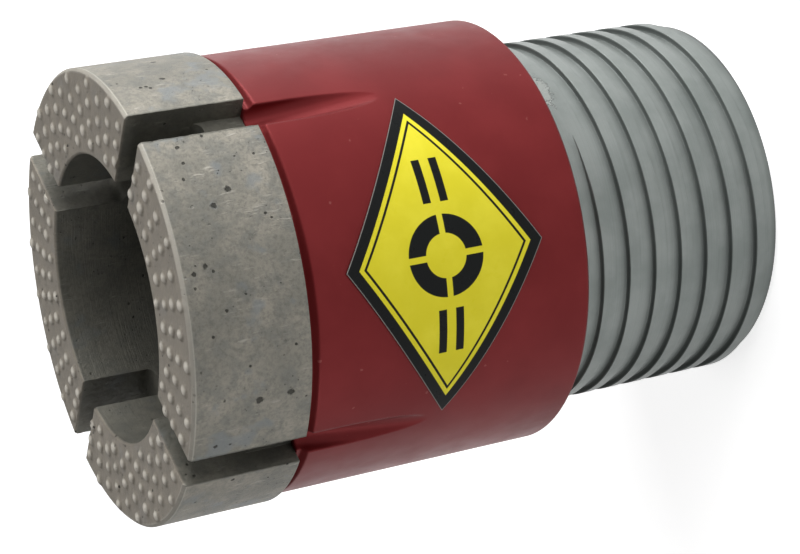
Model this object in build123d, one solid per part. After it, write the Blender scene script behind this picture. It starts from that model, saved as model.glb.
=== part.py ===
"""Diamond core bit for a wireline core barrel.

A steel blank carries a male thread, a shoulder and a painted body.  A cast matrix crown with four
segments sits on its front end, and a thin diamond-shaped label is stuck on the body.

Frame: millimetres, +Z along the bit's axis towards the cutting face, origin at the centre of the
shank's end face, so the bit stands on its shank.  One waterway lies on each of +X, +Y, -X and -Y.
"""
from build123d import *
from math import asin, cos, degrees, floor, hypot, pi, radians, sin
import os

# Diameters that the size class sets, as radii
CROWN_RADIUS = 37.65
CORE_RADIUS = 23.8
BODY_RADIUS = 36.8
THREAD_RADIUS = 31.6
SHANK_WALL = 4.1

# Lengths along the axis
SHANK_LENGTH = 40.9
BODY_LENGTH = 49.9
CROWN_LENGTH = 19.6

# Blank: edges, neck behind the crown and the seat inside
SHANK_END_CHAMFER = 1.0
BORE_MOUTH_CHAMFER = 0.8
SHOULDER_CHAMFER = 0.4
NECK_STEP = 0.9
NECK_LENGTH = 0.8
THROAT_CLEARANCE = 0.8
THROAT_LENGTH = 5.7
SEAT_LENGTH = 12.0

# Tongue of the blank, which the crown is cast around; the covers are the matrix outside and inside it
TONGUE_OUTER_COVER = 1.4
TONGUE_INNER_COVER = 3.4
TONGUE_LENGTH = 5.5

# Thread on the shank: right-hand, trapezoid grooves
THREAD_PITCH = 25.4 / 5
THREAD_DEPTH = 0.85
THREAD_ROOT_FLAT = 2.51
THREAD_FLANK_RUN = 0.25
THREAD_FIRST_ROOT = 1.75
THREAD_LAND = 3.5
THREAD_END_AZIMUTH = -12.5
THREAD_RUNOUT_ANGLE = 45.0
THREAD_OVERCUT = 1.0
RUNOUT_CLEARANCE = 0.1
RUNOUT_STEPS = 4

# Waterways: slots through the crown, grooves down the body
WATERWAYS = 4
SLOT_WIDTH = 5.8
SLOT_DEPTH = 12.8
SLOT_FLOOR_FILLET = 1.4
GROOVE_WIDTH = 4.6
GROOVE_DEPTH = 3.0
GROOVE_LENGTH = 22.0
GROOVE_FLOOR_FLAT = 0.6

# Crown edge and the studs on its face: radial rows, every second one shifted by half a stud pitch
FACE_BEVEL = 0.45
STUD_HEIGHT = 0.6
STUD_RADIUS = 1.05
STUD_TOP_RADIUS = 0.5
STUD_SIDES = 8
STUD_ROWS = 11
STUD_ROW_ANGLE = 7.5
STUDS_PER_ROW = 4
STUD_INNER_MARGIN = 2.2
STUD_OUTER_MARGIN = 1.25
STUD_ROOT = 0.2

# Label: a rhombus wrapped round the body
LABEL_WIDTH = 55.0
LABEL_HEIGHT = 34.4
LABEL_THICKNESS = 0.2
LABEL_CORNER = 1.2
LABEL_AZIMUTH = -45.0
LABEL_CENTRE = 25.5
LABEL_WRAP_TOLERANCE = 0.01

# Worked out from the above
BODY_END = SHANK_LENGTH + BODY_LENGTH
FACE = BODY_END + CROWN_LENGTH
SLOT_FLOOR = FACE - SLOT_DEPTH
NECK_RADIUS = BODY_RADIUS - NECK_STEP
GROOVE_FLOOR = BODY_RADIUS - GROOVE_DEPTH
TONGUE_OUTER = GROOVE_FLOOR - TONGUE_OUTER_COVER
TONGUE_INNER = CORE_RADIUS + TONGUE_INNER_COVER
TONGUE_END = BODY_END + TONGUE_LENGTH
SEAT_END = BODY_END - THROAT_LENGTH
SHANK_BORE_RADIUS = THREAD_RADIUS - SHANK_WALL
RUNOUT_LIFT = THREAD_DEPTH + RUNOUT_CLEARANCE
OVERCUT = 2.0


def turned(points):
    """Solid of revolution about Z from (radius, height) points."""
    outline = make_face(Polyline(*points, close=True))
    return revolve(Plane.XZ * outline, Axis.Z)


def waterway_azimuths():
    return [360 * number / WATERWAYS for number in range(WATERWAYS)]


def swept_between(rails):
    """Solid bounded by ruled faces between neighbouring rails and a flat face at each end."""
    faces = [Face.make_surface_from_curves(one, other) for one, other in zip(rails, rails[1:] + rails[:1])]
    for end in (0, 1):
        faces.append(make_face(Polyline(*[rail @ end for rail in rails], close=True)).face())
    return Solid(Shell(faces))


def thread_groove():
    """Cutters for the thread, turn by turn from below the shank's end to the run-out."""
    root_radius = THREAD_RADIUS - THREAD_DEPTH
    start = THREAD_FIRST_ROOT - THREAD_PITCH
    turns = floor((SHANK_LENGTH - THREAD_LAND - start) / THREAD_PITCH)
    runout_turns = THREAD_RUNOUT_ANGLE / 360
    last_turn = 1 + THREAD_END_AZIMUTH / 360 - runout_turns
    last_start = start + THREAD_PITCH * (turns - 1)
    reach = THREAD_DEPTH + THREAD_OVERCUT
    half_root = THREAD_ROOT_FLAT / 2
    half_mouth = half_root + THREAD_FLANK_RUN * reach / THREAD_DEPTH
    corners = [(root_radius, -half_root), (root_radius, half_root),
               (root_radius + reach, half_mouth), (root_radius + reach, -half_mouth)]

    def helix(corner, height, turned_through):
        radius, offset = corner
        rise = THREAD_PITCH * turned_through
        return Helix(THREAD_PITCH, rise, radius, center=(0, 0, height + offset)).edge()

    def runout(corner, height):
        points = []
        for step in range(RUNOUT_STEPS + 1):
            share = step / RUNOUT_STEPS
            radius = corner[0] + RUNOUT_LIFT * share ** 2
            turn = last_turn + runout_turns * share
            angle = 2 * pi * turn
            rise = height + corner[1] + THREAD_PITCH * turn
            points.append(Vector(radius * cos(angle), radius * sin(angle), rise))
        return Spline(*points).edge()

    full_turn = swept_between([helix(corner, start, 1) for corner in corners])
    cutters = [Pos(0, 0, THREAD_PITCH * turn) * full_turn for turn in range(turns - 1)]
    cutters.append(swept_between([helix(corner, last_start, last_turn) for corner in corners]))
    cutters.append(swept_between([runout(corner, last_start) for corner in corners]))
    return cutters


def groove_cutter():
    """Round-nosed cutter on +X: full depth at the body's front edge, ramping straight out behind it."""
    depth = GROOVE_DEPTH + OVERCUT
    section = Rectangle(GROOVE_WIDTH, depth * 2)
    section = fillet(section.vertices().group_by(Axis.Y)[0], (GROOVE_WIDTH - GROOVE_FLOOR_FLAT) / 2)
    front = Plane(origin=(GROOVE_FLOOR, 0, BODY_END), x_dir=(0, -1, 0), z_dir=(0, 0, 1))
    placed = front * Pos(0, depth, 0) * section
    ramp_length = hypot(GROOVE_DEPTH, GROOVE_LENGTH) * (1 + OVERCUT / GROOVE_DEPTH)
    ramp = extrude(placed, amount=ramp_length, dir=(GROOVE_DEPTH, 0, -GROOVE_LENGTH))
    return ramp + extrude(placed, amount=OVERCUT)


def blank():
    throat_radius = CORE_RADIUS + THROAT_CLEARANCE
    neck_start = BODY_END - NECK_LENGTH
    body = turned([
        (THREAD_RADIUS - SHANK_END_CHAMFER, 0),
        (THREAD_RADIUS, SHANK_END_CHAMFER),
        (THREAD_RADIUS, SHANK_LENGTH),
        (BODY_RADIUS - SHOULDER_CHAMFER, SHANK_LENGTH),
        (BODY_RADIUS, SHANK_LENGTH + SHOULDER_CHAMFER),
        (BODY_RADIUS, neck_start - NECK_STEP),
        (NECK_RADIUS, neck_start),
        (NECK_RADIUS, BODY_END),
        (TONGUE_OUTER, BODY_END),
        (TONGUE_OUTER, TONGUE_END),
        (TONGUE_INNER, TONGUE_END),
        (TONGUE_INNER, BODY_END),
        (throat_radius, BODY_END),
        (throat_radius, SEAT_END),
        (SHANK_BORE_RADIUS, SEAT_END - SEAT_LENGTH),
        (SHANK_BORE_RADIUS, BORE_MOUTH_CHAMFER),
        (SHANK_BORE_RADIUS + BORE_MOUTH_CHAMFER, 0),
    ])
    body -= thread_groove()
    cutter = groove_cutter()
    body -= [Rot(0, 0, azimuth) * cutter for azimuth in waterway_azimuths()]
    return body


def waterway_slot():
    """Slot on +X: through the crown's wall from its face, with rounded corners at its floor."""
    height = SLOT_DEPTH + OVERCUT
    section = Pos(0, SLOT_FLOOR + height / 2) * Rectangle(SLOT_WIDTH, height)
    section = fillet(section.vertices().group_by(Axis.Y)[0], SLOT_FLOOR_FILLET)
    inner = CORE_RADIUS - OVERCUT
    slot = extrude(Plane(origin=(inner, 0, 0), x_dir=(0, 1, 0), z_dir=(1, 0, 0)) * section,
                   amount=CROWN_RADIUS + OVERCUT - inner)
    groove_length = SLOT_FLOOR + SLOT_FLOOR_FILLET - BODY_END + OVERCUT
    groove = Pos(GROOVE_FLOOR, 0, BODY_END - OVERCUT) * Box(
        CROWN_RADIUS + OVERCUT - GROOVE_FLOOR, SLOT_WIDTH, groove_length,
        align=(Align.MIN, Align.CENTER, Align.MIN))
    return slot + groove


def studs():
    """Low tapered studs in radial rows over each segment of the face."""
    base = Plane.XY.offset(FACE - STUD_ROOT)
    widening = (STUD_RADIUS - STUD_TOP_RADIUS) * STUD_ROOT / STUD_HEIGHT
    bottom = base * RegularPolygon(STUD_RADIUS + widening, STUD_SIDES)
    top = Plane.XY.offset(FACE + STUD_HEIGHT) * RegularPolygon(STUD_TOP_RADIUS, STUD_SIDES)
    stud = loft([bottom, top])
    first = CORE_RADIUS + STUD_INNER_MARGIN
    half_pitch = (CROWN_RADIUS - STUD_OUTER_MARGIN - first) / (STUDS_PER_ROW - 1) / 2
    middle_row = (STUD_ROWS - 1) / 2
    placed = []
    for azimuth in waterway_azimuths():
        segment_middle = azimuth + 180 / WATERWAYS
        for row in range(STUD_ROWS):
            shifted = int(abs(row - middle_row)) % 2
            angle = segment_middle + (row - middle_row) * STUD_ROW_ANGLE
            for number in range(STUDS_PER_ROW - shifted):
                radius = first + half_pitch * (2 * number + shifted)
                placed.append(Rot(0, 0, angle) * Pos(radius, 0, 0) * stud)
    return placed


def crown():
    ring = turned([
        (CORE_RADIUS, BODY_END),
        (TONGUE_INNER, BODY_END),
        (TONGUE_INNER, TONGUE_END),
        (TONGUE_OUTER, TONGUE_END),
        (TONGUE_OUTER, BODY_END),
        (CROWN_RADIUS, BODY_END),
        (CROWN_RADIUS, FACE - FACE_BEVEL),
        (CROWN_RADIUS - FACE_BEVEL, FACE),
        (CORE_RADIUS, FACE),
    ])
    slot = waterway_slot()
    return ring + studs() - [Rot(0, 0, azimuth) * slot for azimuth in waterway_azimuths()]


def label():
    """Rhombus wrapped round the body, with its long diagonal round the circumference."""
    half_width = LABEL_WIDTH / 2
    half_height = LABEL_HEIGHT / 2
    rhombus = make_face(Polyline(
        (half_width, 0), (0, half_height), (-half_width, 0), (0, -half_height), close=True))
    rhombus = fillet(rhombus.vertices(), LABEL_CORNER)
    height = SHANK_LENGTH + LABEL_CENTRE
    cylinder = Rot(0, 0, LABEL_AZIMUTH + 180) * Solid.make_cylinder(BODY_RADIUS, BODY_END)
    body_face = cylinder.faces().filter_by(GeomType.CYLINDER)[0]
    outward = Vector(cos(radians(LABEL_AZIMUTH)), sin(radians(LABEL_AZIMUTH)), 0)
    place = Plane(origin=outward * BODY_RADIUS + Vector(0, 0, height),
                  x_dir=outward.rotate(Axis.Z, 90), z_dir=outward)
    wrapped = body_face.wrap(rhombus.face(), place.location, tolerance=LABEL_WRAP_TOLERANCE)
    return Solid.thicken(wrapped, LABEL_THICKNESS, normal_override=outward)


if __name__ == "__main__":
    os.makedirs("parts", exist_ok=True)
    for name, shape in {"blank": blank(), "crown": crown(), "label": label()}.items():
        export_step(shape, f"parts/{name}.step")
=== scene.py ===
"""Looks of the diamond core bit: detailed meshes, materials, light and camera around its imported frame."""
import math

import bmesh
import bpy
import numpy as np
from mathutils import Matrix, Vector, noise


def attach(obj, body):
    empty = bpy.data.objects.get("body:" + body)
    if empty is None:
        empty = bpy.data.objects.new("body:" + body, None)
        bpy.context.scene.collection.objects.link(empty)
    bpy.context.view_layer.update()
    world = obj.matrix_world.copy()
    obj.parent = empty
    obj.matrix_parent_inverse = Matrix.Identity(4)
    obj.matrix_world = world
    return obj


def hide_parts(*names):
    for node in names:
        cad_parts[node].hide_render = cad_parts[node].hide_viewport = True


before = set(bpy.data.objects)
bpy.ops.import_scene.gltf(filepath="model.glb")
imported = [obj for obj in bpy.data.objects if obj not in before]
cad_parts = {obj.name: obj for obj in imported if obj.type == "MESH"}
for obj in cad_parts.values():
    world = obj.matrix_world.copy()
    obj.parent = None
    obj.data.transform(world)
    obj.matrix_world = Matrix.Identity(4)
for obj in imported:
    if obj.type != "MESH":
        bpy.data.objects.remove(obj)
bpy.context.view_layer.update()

# ---------------------------------------------------------------- sizes in millimetres, as in the frame
MM = 0.001
CROWN_RADIUS = 37.65
CORE_RADIUS = 23.8
BODY_RADIUS = 36.8
NECK_RADIUS = 35.9
THREAD_RADIUS = 31.6
SHANK_BORE_RADIUS = 27.5
THROAT_RADIUS = 24.6
TONGUE_OUTER = 32.4
TONGUE_INNER = 27.2
SHOULDER = 40.9
NECK_BOTTOM = 89.1
NECK_TOP = 90.0
BODY_END = 90.8
TONGUE_END = 96.3
SEAT_BOTTOM = 73.1
SEAT_TOP = 85.1
FACE = 110.4
STUD_TOP = 111.0

PITCH = 5.08
THREAD_DEPTH = 0.85
HALF_ROOT = 1.255
FLANK_RUN = 0.25
FIRST_ROOT = 1.75
END_CHAMFER = 1.0
RUNOUT_START_TURN = 6.8403
RUNOUT_TURNS = 0.125
RUNOUT_LIFT = 0.95

SLOT_WIDTH = 5.8
SLOT_FLOOR = 97.6
SLOT_FILLET = 1.4
GROOVE_WIDTH = 4.6
GROOVE_FLOOR = 33.8
GROOVE_LENGTH = 22.0
GROOVE_CORNER = 2.0
WATERWAYS = 4

BODY_EDGE = 0.4
BORE_MOUTH = 0.8
CROWN_BEVEL = 0.45
CORE_EDGE = 0.3


def turned_rows(outline, columns):
    """Grid of points: one row for each (radius, height), one column for each azimuth."""
    angles = np.linspace(0, 2 * math.pi, columns, endpoint=False)
    radii = np.array([point[0] for point in outline])[:, None]
    heights = np.array([point[1] for point in outline])[:, None]
    return np.stack([radii * np.cos(angles), radii * np.sin(angles),
                     np.broadcast_to(heights, (len(outline), columns))], axis=2)


def grid_object(name, points, close_columns=True, close_rows=False, weld=0.0):
    """Mesh object from a grid of points in millimetres, with quads between neighbours."""
    rows, columns = points.shape[:2]
    row_steps = np.arange(rows if close_rows else rows - 1)
    column_steps = np.arange(columns if close_columns else columns - 1)
    low_row, low_column = np.meshgrid(row_steps, column_steps, indexing="ij")
    high_row = (low_row + 1) % rows
    high_column = (low_column + 1) % columns
    quads = np.stack([low_row * columns + low_column, low_row * columns + high_column,
                      high_row * columns + high_column, high_row * columns + low_column], axis=2)
    mesh = bpy.data.meshes.new(name)
    mesh.from_pydata((points.reshape(-1, 3) * MM).tolist(), [], quads.reshape(-1, 4).tolist())
    if weld:
        tidy = bmesh.new()
        tidy.from_mesh(mesh)
        bmesh.ops.remove_doubles(tidy, verts=tidy.verts, dist=weld * MM)
        bmesh.ops.dissolve_degenerate(tidy, edges=tidy.edges, dist=weld * MM)
        tidy.to_mesh(mesh)
        tidy.free()
    piece = bpy.data.objects.new(name, mesh)
    bpy.context.scene.collection.objects.link(piece)
    return piece


def along(start, end, step):
    """Values from start towards end, about one step apart, without the end."""
    count = max(1, round(abs(end - start) / step))
    return [start + (end - start) * number / count for number in range(count)]


def cut(piece, cutters):
    """Takes the cutters out of the piece and deletes them."""
    bpy.context.view_layer.objects.active = piece
    for cutter in cutters:
        modifier = piece.modifiers.new("cut", "BOOLEAN")
        modifier.operation = "DIFFERENCE"
        modifier.solver = "MANIFOLD"
        modifier.object = cutter
        bpy.ops.object.modifier_apply(modifier=modifier.name)
    for cutter in cutters:
        bpy.data.objects.remove(cutter)


def outward(piece):
    """Turns all faces of a closed piece outwards."""
    tidy = bmesh.new()
    tidy.from_mesh(piece.data)
    bmesh.ops.recalc_face_normals(tidy, faces=tidy.faces)
    tidy.to_mesh(piece.data)
    tidy.free()


def smooth(piece, sharp_degrees):
    """Smooth shading, kept crisp where faces meet at more than the angle."""
    piece.data.shade_smooth()
    piece.data.set_sharp_from_angle(angle=math.radians(sharp_degrees))


# ---------------------------------------------------------------- the steel blank
def thread_radius(turn, height):
    """Radius of the threaded shank at an azimuth, in turns, and a height."""
    count = np.round((height - FIRST_ROOT) / PITCH - turn)
    offset = np.abs(height - FIRST_ROOT - PITCH * (turn + count))
    progress = np.clip((turn + count - RUNOUT_START_TURN) / RUNOUT_TURNS, 0, 1)
    floor_radius = THREAD_RADIUS - THREAD_DEPTH + RUNOUT_LIFT * progress ** 2
    radius = floor_radius + np.maximum(0, offset - HALF_ROOT) * THREAD_DEPTH / FLANK_RUN
    return np.minimum(radius, THREAD_RADIUS)


def thread_rows(columns):
    """Rows that follow the helix, clamped between the shank's end chamfer and the shoulder."""
    crest_edge = HALF_ROOT + FLANK_RUN
    offsets = [-1.0, -0.5, 0, 0.5, 1.0]
    offsets += [HALF_ROOT, HALF_ROOT + FLANK_RUN / 2, crest_edge, crest_edge + 0.06, crest_edge + 0.5]
    offsets += [PITCH / 2, PITCH - crest_edge - 0.5, PITCH - crest_edge - 0.06, PITCH - crest_edge]
    offsets += [PITCH - HALF_ROOT - FLANK_RUN / 2, PITCH - HALF_ROOT]
    turn = np.linspace(0, 1, columns + 1)
    rows = []
    for count in range(-2, math.ceil(SHOULDER / PITCH) + 1):
        for offset in offsets:
            height = FIRST_ROOT + PITCH * (count + turn) + offset
            rows.append(np.clip(height, END_CHAMFER, SHOULDER))
    heights = np.array([np.zeros(columns + 1)] + rows)
    radii = thread_radius(turn[None, :], heights)
    radii[0] = np.minimum(radii[0], THREAD_RADIUS - END_CHAMFER)
    angles = 2 * math.pi * turn[None, :]
    return np.stack([radii * np.cos(angles), radii * np.sin(angles), heights], axis=2)


def groove_cutter(azimuth):
    """Round-cornered cutter that ramps straight out of the body behind the crown."""
    depth = BODY_RADIUS - GROOVE_FLOOR
    side = GROOVE_WIDTH / 2
    corner = [(side - GROOVE_CORNER * (1 - math.sin(angle)), GROOVE_CORNER * (1 - math.cos(angle)))
              for angle in np.linspace(0, math.pi / 2, 13)]
    half = corner + [(side, depth + 2)]
    section = [(-across, lift) for across, lift in reversed(half)] + half
    points = []
    for share in np.linspace(1.5, 0, 40):
        rise = depth * share
        points.append([(GROOVE_FLOOR + rise + lift, across, BODY_END - GROOVE_LENGTH * share)
                       for across, lift in section])
    points.append([(GROOVE_FLOOR + lift, across, BODY_END + 1.0) for across, lift in section])
    return capped(grid_object("groove_cutter", np.array(points)), azimuth)


def capped(cutter, azimuth):
    """The open-ended cutter with its ends closed, turned to its azimuth."""
    turned = Matrix.Rotation(math.radians(azimuth), 3, "Z")
    tidy = bmesh.new()
    tidy.from_mesh(cutter.data)
    bmesh.ops.holes_fill(tidy, edges=[edge for edge in tidy.edges if edge.is_boundary], sides=0)
    bmesh.ops.recalc_face_normals(tidy, faces=tidy.faces)
    bmesh.ops.rotate(tidy, verts=tidy.verts, cent=(0, 0, 0), matrix=turned)
    tidy.to_mesh(cutter.data)
    tidy.free()
    return cutter


def make_blank():
    """The steel body in one mesh: thread, shoulder, body, neck, tongue and bore, with the grooves cut."""
    columns = 360
    inside = [(SHANK_BORE_RADIUS, z) for z in along(BORE_MOUTH, SEAT_BOTTOM, 4)]
    inside += [(SHANK_BORE_RADIUS, SEAT_BOTTOM), (THROAT_RADIUS, SEAT_TOP), (THROAT_RADIUS, BODY_END)]
    tongue = [(TONGUE_INNER, BODY_END), (TONGUE_INNER, TONGUE_END), (TONGUE_OUTER, TONGUE_END)]
    front = [(TONGUE_OUTER, BODY_END), (NECK_RADIUS, BODY_END), (NECK_RADIUS, NECK_TOP)]
    body = [(BODY_RADIUS, z) for z in along(NECK_BOTTOM, SHOULDER + BODY_EDGE, 1.0)]
    shoulder = [(BODY_RADIUS, SHOULDER + BODY_EDGE), (BODY_RADIUS - BODY_EDGE, SHOULDER)]
    turn = np.linspace(0, 2 * math.pi, columns + 1)
    outline = [(SHANK_BORE_RADIUS + BORE_MOUTH, 0)] + inside + tongue + front + body + shoulder
    plain = np.stack([np.array([[r * math.cos(a), r * math.sin(a), z] for a in turn]) for r, z in outline])
    points = np.concatenate([thread_rows(columns)[::-1], plain])
    piece = grid_object("bit_blank", points, close_columns=False, close_rows=True, weld=0.0005)
    outward(piece)
    cut(piece, [groove_cutter(360 * number / WATERWAYS) for number in range(WATERWAYS)])
    smooth(piece, 12)
    return piece


# ---------------------------------------------------------------- the crown
STUD_ROWS = 11
STUD_ROW_ANGLE = 7.5
STUDS_PER_ROW = 4
STUD_FIRST_RADIUS = 26.0
STUD_LAST_RADIUS = 36.1
STUD_RADIUS = 1.08
ROUGH_STEP = 0.45


def stud_centres():
    """Centre, size and height of each stud: radial rows over each segment, a little uneven."""
    dice = np.random.default_rng(7)
    half_pitch = (STUD_LAST_RADIUS - STUD_FIRST_RADIUS) / (STUDS_PER_ROW - 1) / 2
    middle = (STUD_ROWS - 1) / 2
    centres = []
    for segment in range(WATERWAYS):
        for row in range(STUD_ROWS):
            shifted = int(abs(row - middle)) % 2
            angle = math.radians((segment + 0.5) * 360 / WATERWAYS + (row - middle) * STUD_ROW_ANGLE)
            for number in range(STUDS_PER_ROW - shifted):
                radius = STUD_FIRST_RADIUS + half_pitch * (2 * number + shifted)
                shift = dice.uniform(-0.14, 0.14, 2)
                centres.append((radius * math.cos(angle) + shift[0], radius * math.sin(angle) + shift[1],
                                dice.uniform(0.85, 1.12), dice.uniform(0.72, 1.0)))
    return np.array(centres)


def face_lift(x, y):
    """Height of the studs above the face at each point."""
    lift = np.zeros_like(x)
    for centre_x, centre_y, width, scale in stud_centres():
        near = (x - centre_x) ** 2 + (y - centre_y) ** 2
        dome = np.clip(1 - near / (STUD_RADIUS * width) ** 2, 0, 1)
        lift = np.maximum(lift, (STUD_TOP - FACE) * scale * dome ** 0.65)
    return lift


def ragged_tube(name, outline, inner, outer, seed):
    """Closed cutter along the radius whose sides are rough, never inside the outline."""
    elsewhere = Vector((seed * 17.3, seed * 5.1, 0))
    section = []
    for number, (across, height) in enumerate(outline):
        next_across, next_height = outline[(number + 1) % len(outline)]
        reach = math.hypot(next_across - across, next_height - height)
        count = max(1, round(reach / ROUGH_STEP))
        for part in range(count):
            share = part / count
            section.append((across + (next_across - across) * share,
                            height + (next_height - height) * share))
    rows = []
    for radius in along(inner, outer, ROUGH_STEP) + [outer]:
        row = []
        for across, height in section:
            place = Vector((radius, across, height)) + elsewhere
            rough = abs(noise.noise(place * 0.9)) * 0.16 + abs(noise.noise(place * 2.1)) * 0.09
            widen = rough * max(-1, min(1, across / 2.2))
            row.append((radius, across + widen, height))
        rows.append(row)
    return grid_object(name, np.array(rows))


def slot_cutter(azimuth):
    """Cutters for one slot: through the wall down to its floor, and an outer groove below it."""
    side = SLOT_WIDTH / 2
    floor = [(-side + SLOT_FILLET * (1 - math.cos(a)), SLOT_FLOOR + SLOT_FILLET * (1 - math.sin(a)))
             for a in np.linspace(0, math.pi / 2, 9)]
    section = [(-side, STUD_TOP + 2)] + floor + [(-across, height) for across, height in reversed(floor)]
    section.append((side, STUD_TOP + 2))
    through = ragged_tube("slot_cutter", section, CORE_RADIUS - 2, CROWN_RADIUS + 2, azimuth / 90)
    low = BODY_END - 2
    high = SLOT_FLOOR + SLOT_FILLET
    box = [(-side, high), (-side, low), (side, low), (side, high)]
    groove = ragged_tube("low_cutter", box, GROOVE_FLOOR, CROWN_RADIUS + 2, azimuth / 90)
    return [capped(through, azimuth), capped(groove, azimuth)]


def make_crown():
    """The cast ring in one mesh: bore, studded face, bevel, wall and socket, with the waterways cut."""
    columns = 720
    bevel = CROWN_BEVEL
    outline = [(CORE_RADIUS, z) for z in along(BODY_END, FACE - CORE_EDGE, 0.8)]
    outline += [(CORE_RADIUS, FACE - CORE_EDGE)]
    outline += [(r, FACE) for r in along(CORE_RADIUS + CORE_EDGE, CROWN_RADIUS - bevel, 0.33)]
    outline += [(CROWN_RADIUS - bevel * share, FACE - bevel * (1 - share)) for share in (1, 0.5)]
    outline += [(CROWN_RADIUS, z) for z in along(FACE - bevel, BODY_END, 0.5)]
    outline += [(CROWN_RADIUS, BODY_END), (TONGUE_OUTER, BODY_END)]
    outline += [(TONGUE_OUTER, TONGUE_END), (TONGUE_INNER, TONGUE_END), (TONGUE_INNER, BODY_END)]
    points = turned_rows(outline, columns)
    on_face = np.array([abs(z - FACE) < 1e-6 for r, z in outline])
    points[on_face, :, 2] += face_lift(points[on_face, :, 0], points[on_face, :, 1])
    piece = grid_object("bit_crown", points, close_rows=True)
    outward(piece)
    cutters = []
    for number in range(WATERWAYS):
        cutters += slot_cutter(360 * number / WATERWAYS)
    cut(piece, cutters)
    smooth(piece, 40)
    return piece


# ---------------------------------------------------------------- the label
LABEL_HALF_WIDTH = 27.5
LABEL_HALF_HEIGHT = 17.2
LABEL_AZIMUTH = -45.0
LABEL_CENTRE = 66.4
LABEL_THICKNESS = 0.15
LABEL_SUNK = 0.02
LABEL_COLUMNS = 64
LABEL_ROWS = 17


def make_label():
    """Rhombus of film wrapped round the body, with a UV map in millimetres from its centre."""
    rows = []
    for number in range(LABEL_COLUMNS + 1):
        along_width = LABEL_HALF_WIDTH * (2 * number / LABEL_COLUMNS - 1)
        half = LABEL_HALF_HEIGHT * (1 - abs(along_width) / LABEL_HALF_WIDTH)
        rows.append([(along_width, half * share) for share in np.linspace(-1, 1, LABEL_ROWS)])
    flat = np.array(rows)
    angle = math.radians(LABEL_AZIMUTH) + flat[:, :, 0] / BODY_RADIUS
    top = BODY_RADIUS + LABEL_THICKNESS
    points = np.stack([top * np.cos(angle), top * np.sin(angle), LABEL_CENTRE + flat[:, :, 1]], axis=2)
    piece = grid_object("bit_label", points, close_columns=False)
    layer = piece.data.uv_layers.new(name="print")
    spots = flat.reshape(-1, 2)
    for loop in piece.data.loops:
        layer.data[loop.index].uv = spots[loop.vertex_index]
    bpy.context.view_layer.objects.active = piece
    shell = piece.modifiers.new("film", "SOLIDIFY")
    shell.thickness = (LABEL_THICKNESS + LABEL_SUNK) * MM
    shell.offset = -1
    bpy.ops.object.modifier_apply(modifier=shell.name)
    smooth(piece, 40)
    return piece


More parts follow.
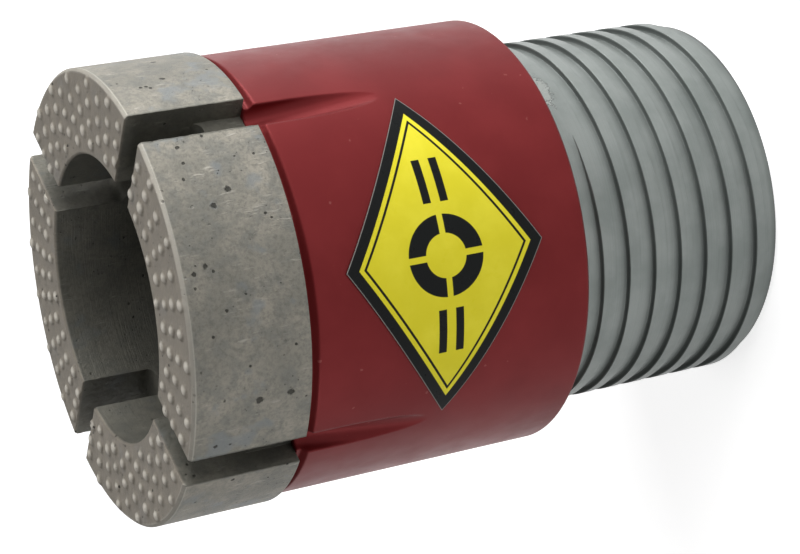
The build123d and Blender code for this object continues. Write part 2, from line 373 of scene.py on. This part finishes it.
# ---------------------------------------------------------------- materials
class Graph:
    """Short names for the nodes of one material.  Positions are in millimetres."""

    def __init__(self, name):
        self.material = bpy.data.materials.new(name)
        self.material.use_nodes = True
        self.nodes = self.material.node_tree.nodes
        self.links = self.material.node_tree.links
        self.shader = self.nodes["Principled BSDF"]
        coordinates = self.nodes.new("ShaderNodeTexCoord")
        self.place = self.vector("SCALE", coordinates.outputs["Object"], scale=1 / MM)
        self.flat = coordinates.outputs["UV"]
        split = self.nodes.new("ShaderNodeSeparateXYZ")
        self.links.new(self.place, split.inputs[0])
        self.x, self.y, self.z = split.outputs

    def put(self, value, socket):
        """Links another node's output to the socket, or sets the socket's own value."""
        if isinstance(value, bpy.types.NodeSocket):
            self.links.new(value, socket)
        elif isinstance(value, tuple) and len(value) == 3 and socket.type == "RGBA":
            socket.default_value = (*value, 1)
        else:
            socket.default_value = value

    def vector(self, operation, one, other=None, scale=None):
        node = self.nodes.new("ShaderNodeVectorMath")
        node.operation = operation
        self.put(one, node.inputs[0])
        if other is not None:
            self.put(other, node.inputs[1])
        if scale is not None:
            node.inputs["Scale"].default_value = scale
        return node.outputs["Value"] if operation in ("LENGTH", "DISTANCE") else node.outputs["Vector"]

    def math(self, operation, one, other=0.0, third=None):
        node = self.nodes.new("ShaderNodeMath")
        node.operation = operation
        self.put(one, node.inputs[0])
        self.put(other, node.inputs[1])
        if third is not None:
            self.put(third, node.inputs[2])
        return node.outputs[0]

    def between(self, value, low, high, to_low=0.0, to_high=1.0):
        """Smooth step of the value from low to high."""
        node = self.nodes.new("ShaderNodeMapRange")
        node.interpolation_type = "SMOOTHSTEP"
        for given, socket in zip((value, low, high, to_low, to_high), node.inputs):
            self.put(given, socket)
        return node.outputs[0]

    def noise(self, size, detail=3.0, roughness=0.55, place=None):
        node = self.nodes.new("ShaderNodeTexNoise")
        self.links.new(self.place if place is None else place, node.inputs["Vector"])
        node.inputs["Scale"].default_value = 1 / size
        node.inputs["Detail"].default_value = detail
        node.inputs["Roughness"].default_value = roughness
        return node.outputs["Fac"]

    def cells(self, size):
        """Distance to the nearest of scattered points, in cell sizes."""
        node = self.nodes.new("ShaderNodeTexVoronoi")
        self.links.new(self.place, node.inputs["Vector"])
        node.inputs["Scale"].default_value = 1 / size
        return node.outputs["Distance"]

    def mix(self, share, one, other):
        node = self.nodes.new("ShaderNodeMix")
        node.data_type = "RGBA"
        self.put(share, node.inputs["Factor"])
        self.put(one, node.inputs["A"])
        self.put(other, node.inputs["B"])
        return node.outputs["Result"]

    def stretched(self, across, along_axis):
        """Position drawn out round the axis: (radius, azimuth length, height) scaled apart."""
        angle = self.math("ARCTAN2", self.y, self.x)
        flat = self.nodes.new("ShaderNodeCombineXYZ")
        radius = self.vector("LENGTH", self.vector("MULTIPLY", self.place, (1, 1, 0)))
        self.links.new(self.math("MULTIPLY", radius, 1 / along_axis), flat.inputs[0])
        self.links.new(self.math("MULTIPLY", angle, across), flat.inputs[1])
        self.links.new(self.math("MULTIPLY", self.z, 1 / along_axis), flat.inputs[2])
        return flat.outputs[0]

    def bump(self, height, distance, strength=1.0, normal=None):
        node = self.nodes.new("ShaderNodeBump")
        self.put(height, node.inputs["Height"])
        node.inputs["Distance"].default_value = distance * MM
        node.inputs["Strength"].default_value = strength
        if normal is not None:
            self.links.new(normal, node.inputs["Normal"])
        return node.outputs["Normal"]

    def rounded(self, radius):
        """Normal that rounds sharp edges by the radius."""
        node = self.nodes.new("ShaderNodeBevel")
        node.inputs["Radius"].default_value = radius * MM
        node.samples = 6
        return node.outputs["Normal"]

    def finish(self, colour, roughness, normal, metallic=0.0):
        self.put(colour, self.shader.inputs["Base Color"])
        self.put(roughness, self.shader.inputs["Roughness"])
        self.put(normal, self.shader.inputs["Normal"])
        self.put(metallic, self.shader.inputs["Metallic"])
        return self.material


def red_paint():
    """Satin metallic red paint with a faint orange peel, soft mottling and a few dust specks."""
    graph = Graph("red_paint")
    mottle = graph.noise(14, 4)
    colour = graph.mix(graph.between(mottle, 0.35, 0.7),
                       (0.142, 0.0110, 0.0125), (0.168, 0.0155, 0.0170))
    distance = graph.cells(2.6)
    speck = graph.between(graph.math("ADD", distance, graph.noise(1.3)), 0.50, 0.44)
    colour = graph.mix(graph.math("MULTIPLY", speck, 0.35), colour, (0.34, 0.12, 0.11))
    roughness = graph.between(graph.noise(5, 5), 0.3, 0.7, 0.37, 0.44)
    normal = graph.bump(graph.noise(0.35, 2), 0.02, 0.35, graph.rounded(0.6))
    graph.shader.inputs["Specular IOR Level"].default_value = 0.2
    return graph.finish(colour, roughness, normal, 0.42)


def bare_steel():
    """Turned steel: tool marks round the axis, grey-green oxide, painted shade in the thread's corners, a
    splash.
    """
    graph = Graph("bare_steel")
    marks = graph.noise(1.0, 3, place=graph.stretched(0.6, 0.09))
    broad = graph.noise(9, 4)
    colour = graph.mix(graph.between(broad, 0.3, 0.7), (0.205, 0.228, 0.218), (0.265, 0.288, 0.277))
    colour = graph.mix(graph.between(marks, 0.45, 0.75, 0.0, 0.3), colour, (0.14, 0.16, 0.15))
    radius = graph.vector("LENGTH", graph.vector("MULTIPLY", graph.place, (1, 1, 0)))
    turn = graph.math("DIVIDE", graph.math("ARCTAN2", graph.y, graph.x), 2 * math.pi)
    pitches = graph.math("DIVIDE", graph.math("SUBTRACT", graph.z, FIRST_ROOT), PITCH)
    count = graph.math("SUBTRACT", pitches, turn)
    phase = graph.math("FRACT", graph.math("ADD", count, 0.5))
    offset = graph.math("MULTIPLY", graph.math("SUBTRACT", phase, 0.5), PITCH)
    # painted shade: the flank that faces the crown is darkened as if in shadow, and the root darkens towards
    # it as if shadowed by the crest
    shaded_flank = graph.between(offset, 0.1 - HALF_ROOT, -0.15 - HALF_ROOT)
    corner = graph.between(offset, 0.5, -HALF_ROOT, 0.0, 0.45)
    sunk = graph.between(radius, THREAD_RADIUS - 0.02, THREAD_RADIUS - 0.3)
    painted_thread_shade = graph.math("MULTIPLY", graph.math("MAXIMUM", shaded_flank, corner), sunk)
    on_thread = graph.math("MULTIPLY", graph.between(graph.z, SHOULDER, SHOULDER - 0.1),
                           graph.between(radius, SHANK_BORE_RADIUS + 1.2, SHANK_BORE_RADIUS + 1.4))
    # the thread's painted shade is mixed in as near-black colour
    colour = graph.mix(graph.math("MULTIPLY", graph.math("MULTIPLY", painted_thread_shade, on_thread), 0.62), colour,
                       (0.03, 0.034, 0.032))
    near = graph.vector("DISTANCE", graph.vector("MULTIPLY", graph.place, (0.6, 0.45, 1)), (18.9, 0.4, 37.2))
    ragged = graph.math("MULTIPLY", graph.noise(0.8, 5, 0.65), 4.2)
    splash = graph.between(graph.math("ADD", near, ragged), 3.9, 3.4)
    colour = graph.mix(graph.math("MULTIPLY", splash, 0.35), colour, (0.46, 0.48, 0.45))
    roughness = graph.between(graph.noise(3, 4), 0.3, 0.7, 0.35, 0.45)
    roughness = graph.math("SUBTRACT", roughness, graph.math("MULTIPLY", splash, 0.12))
    normal = graph.bump(marks, 0.02, 0.5, graph.rounded(0.12))
    normal = graph.bump(splash, 0.12, 1.0, normal)
    graph.shader.inputs["Specular IOR Level"].default_value = 0.25
    return graph.finish(colour, roughness, normal, 0.5)


# azimuth, height and half width of the larger pits; those from 31 up, on the hidden side, are made up
PITS = [
    (15.3, 105.1, 0.30), (15.3, 104.2, 0.26), (14.4, 103.7, 0.30), (18.1, 100.8, 0.42), (18.9, 108.1, 0.20),
    (-7.6, 104.8, 0.34), (-12.1, 104.9, 0.26), (-16.3, 105.8, 0.28), (-5.3, 100.4, 0.26),
    (-23.9, 102.5, 0.48), (-20.4, 99.5, 0.52), (-37.3, 106.1, 0.42), (-38.7, 108.1, 0.36),
    (-48.0, 103.9, 0.26), (-53.5, 106.6, 0.24), (-62.0, 101.0, 0.24), (-71.2, 99.5, 0.55),
    (-70.7, 94.3, 0.55), (-82.1, 106.3, 0.34), (-96.2, 102.0, 0.34),
    (31.0, 99.0, 0.40), (52.0, 104.0, 0.45), (74.0, 96.0, 0.40), (118.0, 103.0, 0.48), (133.0, 97.0, 0.38),
    (160.0, 106.0, 0.42), (201.0, 99.0, 0.46), (214.0, 104.5, 0.36), (238.0, 95.5, 0.50), (251.0, 103.0, 0.34)]


def crown_matrix():
    """Cast matrix: beige grey, mottled, with open pores, bluish stains, dusty studs with a painted highlight
    on their tops, a pale outer edge, and painted shade in the slots and bore.
    """
    graph = Graph("crown_matrix")
    radius = graph.vector("LENGTH", graph.vector("MULTIPLY", graph.place, (1, 1, 0)))
    angle = graph.math("ARCTAN2", graph.y, graph.x)
    wall = graph.nodes.new("ShaderNodeCombineXYZ")
    graph.links.new(graph.math("MULTIPLY", angle, CROWN_RADIUS), wall.inputs[0])
    graph.links.new(graph.z, wall.inputs[1])
    broad = graph.noise(9, 5)
    clouds = graph.noise(3.2, 4, 0.65)
    fine = graph.noise(0.7, 6, 0.7)
    colour = graph.mix(graph.between(broad, 0.32, 0.68), (0.215, 0.206, 0.175), (0.30, 0.28, 0.235))
    colour = graph.mix(graph.between(clouds, 0.42, 0.66, 0.0, 0.6), colour, (0.155, 0.158, 0.146))
    colour = graph.mix(graph.between(fine, 0.3, 0.62, 0.6, 0.0), colour, (0.105, 0.103, 0.09))
    scuff = graph.nodes.new("ShaderNodeCombineXYZ")
    graph.links.new(graph.math("MULTIPLY", angle, CROWN_RADIUS), scuff.inputs[0])
    graph.links.new(graph.math("MULTIPLY", graph.z, 0.16), scuff.inputs[1])
    graph.links.new(radius, scuff.inputs[2])
    scuffs = graph.math("MULTIPLY", graph.between(graph.noise(0.55, 3, 0.6, scuff.outputs[0]), 0.56, 0.72),
                        graph.between(graph.noise(4.5, 3), 0.46, 0.62))
    colour = graph.mix(graph.math("MULTIPLY", scuffs, 0.55), colour, (0.42, 0.40, 0.35))
    stain = graph.between(graph.noise(7, 3, 0.6), 0.56, 0.66, 0.0, 0.55)
    colour = graph.mix(stain, colour, (0.185, 0.205, 0.215))

    # face: brown dust between the studs, a painted highlight on the stud tops, a pale edge all round
    on_face = graph.between(graph.z, FACE - 0.5, FACE - 0.1)
    colour = graph.mix(graph.math("MULTIPLY", on_face, 0.6), colour, (0.25, 0.215, 0.175))
    # painted highlight: the stud tops are made paler by height, as if lit from above
    uneven = graph.math("MULTIPLY", graph.math("SUBTRACT", graph.noise(1.6, 4), 0.5), 0.35)
    top = graph.between(graph.math("ADD", graph.z, uneven), FACE + 0.12, FACE + 0.45)
    colour = graph.mix(graph.math("MULTIPLY", top, 0.8), colour, (0.60, 0.565, 0.50))
    # paler band along the outer edge of the face, over the bevel
    rim = graph.math("MULTIPLY", graph.between(radius, CROWN_RADIUS - 0.85, CROWN_RADIUS - 0.35),
                     graph.between(graph.z, FACE - 0.75, FACE - 0.45))
    colour = graph.mix(graph.math("MULTIPLY", rim, 0.55), colour, (0.50, 0.475, 0.42))

    # painted shade: the slots and bore are darkened below the face as if in shadow
    aside = graph.math("MINIMUM", graph.math("ABSOLUTE", graph.x), graph.math("ABSOLUTE", graph.y))
    in_slot = graph.between(aside, SLOT_WIDTH / 2 + 0.45, SLOT_WIDTH / 2 + 0.2)
    in_bore = graph.between(radius, CORE_RADIUS + 0.3, CORE_RADIUS + 0.1)
    hidden = graph.math("MULTIPLY", graph.math("MAXIMUM", in_slot, in_bore),
                        graph.between(graph.z, FACE, FACE - 0.6))
    colour = graph.mix(graph.math("MULTIPLY", hidden, 0.6), colour, (0.085, 0.085, 0.07))

    # pores: scattered small ones, and the larger pits of the table
    distance = graph.cells(2.1)
    few = graph.between(graph.noise(5, 2), 0.47, 0.6)
    wobble = graph.math("MULTIPLY", graph.noise(0.6), 0.22)
    pore = graph.math("MULTIPLY", graph.between(graph.math("ADD", distance, wobble), 0.25, 0.19), few)
    small = graph.cells(0.95)
    pore = graph.math("MAXIMUM", pore, graph.math("MULTIPLY", graph.between(small, 0.16, 0.10),
                                                 graph.between(clouds, 0.5, 0.62, 0.0, 0.75)))
    bent = graph.math("MULTIPLY", graph.math("SUBTRACT", graph.noise(0.55, 4, 0.65), 0.5), 1.9)
    pit = None
    for azimuth, height, size in PITS:
        away = graph.math("DIVIDE", graph.vector("DISTANCE", wall.outputs[0],
                                                 (math.radians(azimuth) * CROWN_RADIUS, height, 0)), size)
        pit = away if pit is None else graph.math("MINIMUM", pit, away)
    pit = graph.between(graph.math("ADD", pit, bent), 1.15, 0.75)
    pit = graph.math("MULTIPLY", pit, graph.between(radius, CROWN_RADIUS - 0.5, CROWN_RADIUS - 0.3))
    pore = graph.math("MAXIMUM", pore, pit)
    colour = graph.mix(graph.math("MULTIPLY", pore, 0.9), colour, (0.028, 0.027, 0.022))

    # grinding marks round the bore
    marks = graph.noise(1.0, 3, place=graph.stretched(1.2, 0.12))
    marks = graph.math("MULTIPLY", marks, in_bore)
    roughness = graph.between(fine, 0.3, 0.7, 0.44, 0.60)
    height = graph.math("SUBTRACT", graph.math("MULTIPLY", fine, 0.4), pore)
    height = graph.math("ADD", height, graph.math("MULTIPLY", marks, 0.3))
    height = graph.math("ADD", height, graph.math("MULTIPLY", clouds, 0.5))
    height = graph.math("ADD", height, graph.math("MULTIPLY", scuffs, 0.25))
    normal = graph.bump(height, 0.3, 0.8, graph.rounded(0.22))
    graph.shader.inputs["Specular IOR Level"].default_value = 0.25
    return graph.finish(colour, roughness, normal, 0.35)


def label_film():
    """Yellow film with a black border, a ring of four segments and plain bars."""
    graph = Graph("label_film")
    split = graph.nodes.new("ShaderNodeSeparateXYZ")
    graph.links.new(graph.flat, split.inputs[0])
    across, up = split.outputs[0], split.outputs[1]
    far_across = graph.math("ABSOLUTE", across)
    far_up = graph.math("ABSOLUTE", up)
    share = graph.math("ADD", graph.math("DIVIDE", far_across, LABEL_HALF_WIDTH),
                       graph.math("DIVIDE", far_up, LABEL_HALF_HEIGHT))
    slant = LABEL_HALF_WIDTH * LABEL_HALF_HEIGHT / math.hypot(LABEL_HALF_WIDTH, LABEL_HALF_HEIGHT)
    inset = graph.math("MULTIPLY", graph.math("SUBTRACT", 1.0, share), slant)
    soft = 0.05

    def band(value, centre, half):
        """1 where the value is within half of the centre."""
        return graph.between(graph.math("ABSOLUTE", graph.math("SUBTRACT", value, centre)),
                             half + soft, half - soft)

    border = graph.between(inset, 1.8 + soft, 1.8 - soft)
    stripe = band(inset, 2.7, 0.2)
    radius = graph.vector("LENGTH", graph.vector("MULTIPLY", graph.flat, (1, 1, 0)))
    ring = band(radius, 5.0, 1.5)
    gap = graph.math("MINIMUM", far_across, far_up)
    ring = graph.math("MULTIPLY", ring, graph.between(gap, 0.5 - soft, 0.5 + soft))
    bars = graph.math("MULTIPLY", band(far_across, 12.0, 3.6), band(far_up, 1.5, 0.7))
    ink = graph.math("MAXIMUM", graph.math("MAXIMUM", border, stripe), graph.math("MAXIMUM", ring, bars))
    wear = graph.between(graph.noise(7, 4), 0.35, 0.7)
    yellow = graph.mix(wear, (0.76, 0.675, 0.03), (0.82, 0.735, 0.045))
    colour = graph.mix(ink, yellow, (0.006, 0.007, 0.007))
    colour = graph.mix(graph.between(inset, 0.16, 0.06, 0.0, 0.7), colour, (0.30, 0.30, 0.28))
    normal = graph.bump(graph.noise(2.5, 3), 0.03, 0.3)
    graph.shader.inputs["Specular IOR Level"].default_value = 0.1
    return graph.finish(colour, graph.between(graph.noise(4, 3), 0.3, 0.7, 0.26, 0.36), normal)


def dress(piece, choose, *materials):
    """Gives the piece its materials, one for each face as choose(centre) says."""
    piece.data.materials.clear()
    for material in materials:
        piece.data.materials.append(material)
    for face in piece.data.polygons:
        face.material_index = choose(face.center / MM)


def is_bare(centre):
    """0 for the painted outside of the body, 1 for bare steel."""
    radius = math.hypot(centre.x, centre.y)
    painted = centre.z > SHOULDER - 0.01 and radius > THREAD_RADIUS + 0.5 and centre.z < BODY_END + 0.05
    return 0 if painted else 1


# ---------------------------------------------------------------- camera, floor and light
CAMERA_PLACE = (270.74, -231.23, 223.72)
CAMERA_TARGET = (-3.45, -4.17, 57.68)
CAMERA_ROLL = -100.82
CAMERA_LENS = 102.96

FLOOR_HALF = 3.0
FLOOR_GLOW = 0.5          # for glossy and transmission rays
FLOOR_CAMERA_GLOW = 0.2   # on top of it for the camera

LAMP_DISTANCE = 0.9
LAMP_SIZE = 0.5
LAMP_TARGET = (0, 0, 0.055)
LAMPS = (  # name, azimuth, elevation, watts
    ("key", 48, 10, 8.6), ("side", -2, 10, 2.5), ("low", -108, 10, 2.4),
    ("back", 140, 45, 1.6), ("high", 18, 60, 3.1))
WORLD_STRENGTH = 0.08


def make_camera():
    data = bpy.data.cameras.new("camera")
    data.lens = CAMERA_LENS
    data.sensor_width = 36
    data.clip_end = 20
    camera = bpy.data.objects.new("camera", data)
    bpy.context.scene.collection.objects.link(camera)
    place = Vector(CAMERA_PLACE) * MM
    look = (Vector(CAMERA_TARGET) * MM - place).to_track_quat("-Z", "Y")
    turn = Matrix.Rotation(math.radians(CAMERA_ROLL), 4, "Z")
    camera.matrix_world = Matrix.Translation(place) @ look.to_matrix().to_4x4() @ turn
    bpy.context.scene.camera = camera


def make_floor():
    """Pale floor that takes the shadow; camera, glossy and transmission rays also see it glow."""
    mesh = bpy.data.meshes.new("floor")
    half = FLOOR_HALF
    corners = [(-half, -half, 0), (half, -half, 0), (half, half, 0), (-half, half, 0)]
    mesh.from_pydata(corners, [], [(0, 1, 2, 3)])
    floor = bpy.data.objects.new("floor", mesh)
    bpy.context.scene.collection.objects.link(floor)
    material = bpy.data.materials.new("floor")
    material.use_nodes = True
    nodes = material.node_tree.nodes
    links = material.node_tree.links
    shader = nodes["Principled BSDF"]
    shader.inputs["Base Color"].default_value = (0.8, 0.8, 0.8, 1)
    shader.inputs["Roughness"].default_value = 0.9
    shader.inputs["Specular IOR Level"].default_value = 0
    path = nodes.new("ShaderNodeLightPath")
    seen = nodes.new("ShaderNodeMath")
    seen.operation = "MAXIMUM"
    links.new(path.outputs["Is Camera Ray"], seen.inputs[0])
    links.new(path.outputs["Is Glossy Ray"], seen.inputs[1])
    seen_too = nodes.new("ShaderNodeMath")
    seen_too.operation = "MAXIMUM"
    links.new(seen.outputs[0], seen_too.inputs[0])
    links.new(path.outputs["Is Transmission Ray"], seen_too.inputs[1])
    glow = nodes.new("ShaderNodeEmission")
    bright = nodes.new("ShaderNodeMath")
    bright.operation = "MULTIPLY_ADD"
    links.new(path.outputs["Is Camera Ray"], bright.inputs[0])
    bright.inputs[1].default_value = FLOOR_CAMERA_GLOW
    bright.inputs[2].default_value = FLOOR_GLOW
    links.new(bright.outputs[0], glow.inputs["Strength"])
    dark = nodes.new("ShaderNodeEmission")
    dark.inputs["Strength"].default_value = 0.0
    choose = nodes.new("ShaderNodeMixShader")
    links.new(seen_too.outputs[0], choose.inputs[0])
    links.new(dark.outputs[0], choose.inputs[1])
    links.new(glow.outputs[0], choose.inputs[2])
    both = nodes.new("ShaderNodeAddShader")
    links.new(shader.outputs[0], both.inputs[0])
    links.new(choose.outputs[0], both.inputs[1])
    links.new(both.outputs[0], nodes["Material Output"].inputs["Surface"])
    floor.data.materials.append(material)


def make_lights():
    """Large soft squares round the part, and a weak even world."""
    for name, azimuth, elevation, power in LAMPS:
        around, above = math.radians(azimuth), math.radians(elevation)
        data = bpy.data.lights.new(name, "AREA")
        data.shape = "RECTANGLE"
        data.size = data.size_y = LAMP_SIZE
        data.energy = power
        lamp = bpy.data.objects.new(name, data)
        lamp.location = (LAMP_DISTANCE * math.cos(around) * math.cos(above),
                         LAMP_DISTANCE * math.sin(around) * math.cos(above),
                         LAMP_TARGET[2] + LAMP_DISTANCE * math.sin(above))
        lamp.rotation_euler = (Vector(LAMP_TARGET) - lamp.location).to_track_quat("-Z", "Y").to_euler()
        bpy.context.scene.collection.objects.link(lamp)
    world = bpy.data.worlds.new("world")
    bpy.context.scene.world = world
    world.use_nodes = True
    back = world.node_tree.nodes["Background"]
    back.inputs["Color"].default_value = (1, 1, 1, 1)
    back.inputs["Strength"].default_value = WORLD_STRENGTH


bpy.context.scene.view_settings.view_transform = "Standard"
make_camera()
make_floor()
make_lights()

blank = make_blank()
crown = make_crown()
label = make_label()
dress(blank, is_bare, red_paint(), bare_steel())
dress(crown, lambda centre: 0, crown_matrix())
dress(label, lambda centre: 0, label_film())
for piece, node, slot in ((blank, "blank", "painted_steel"), (crown, "crown", "matrix"),
                          (label, "label", "label_film")):
    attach(piece, "root")
    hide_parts(node)
    print(piece.name, len(piece.data.polygons), sum(len(p.vertices) - 2 for p in piece.data.polygons))
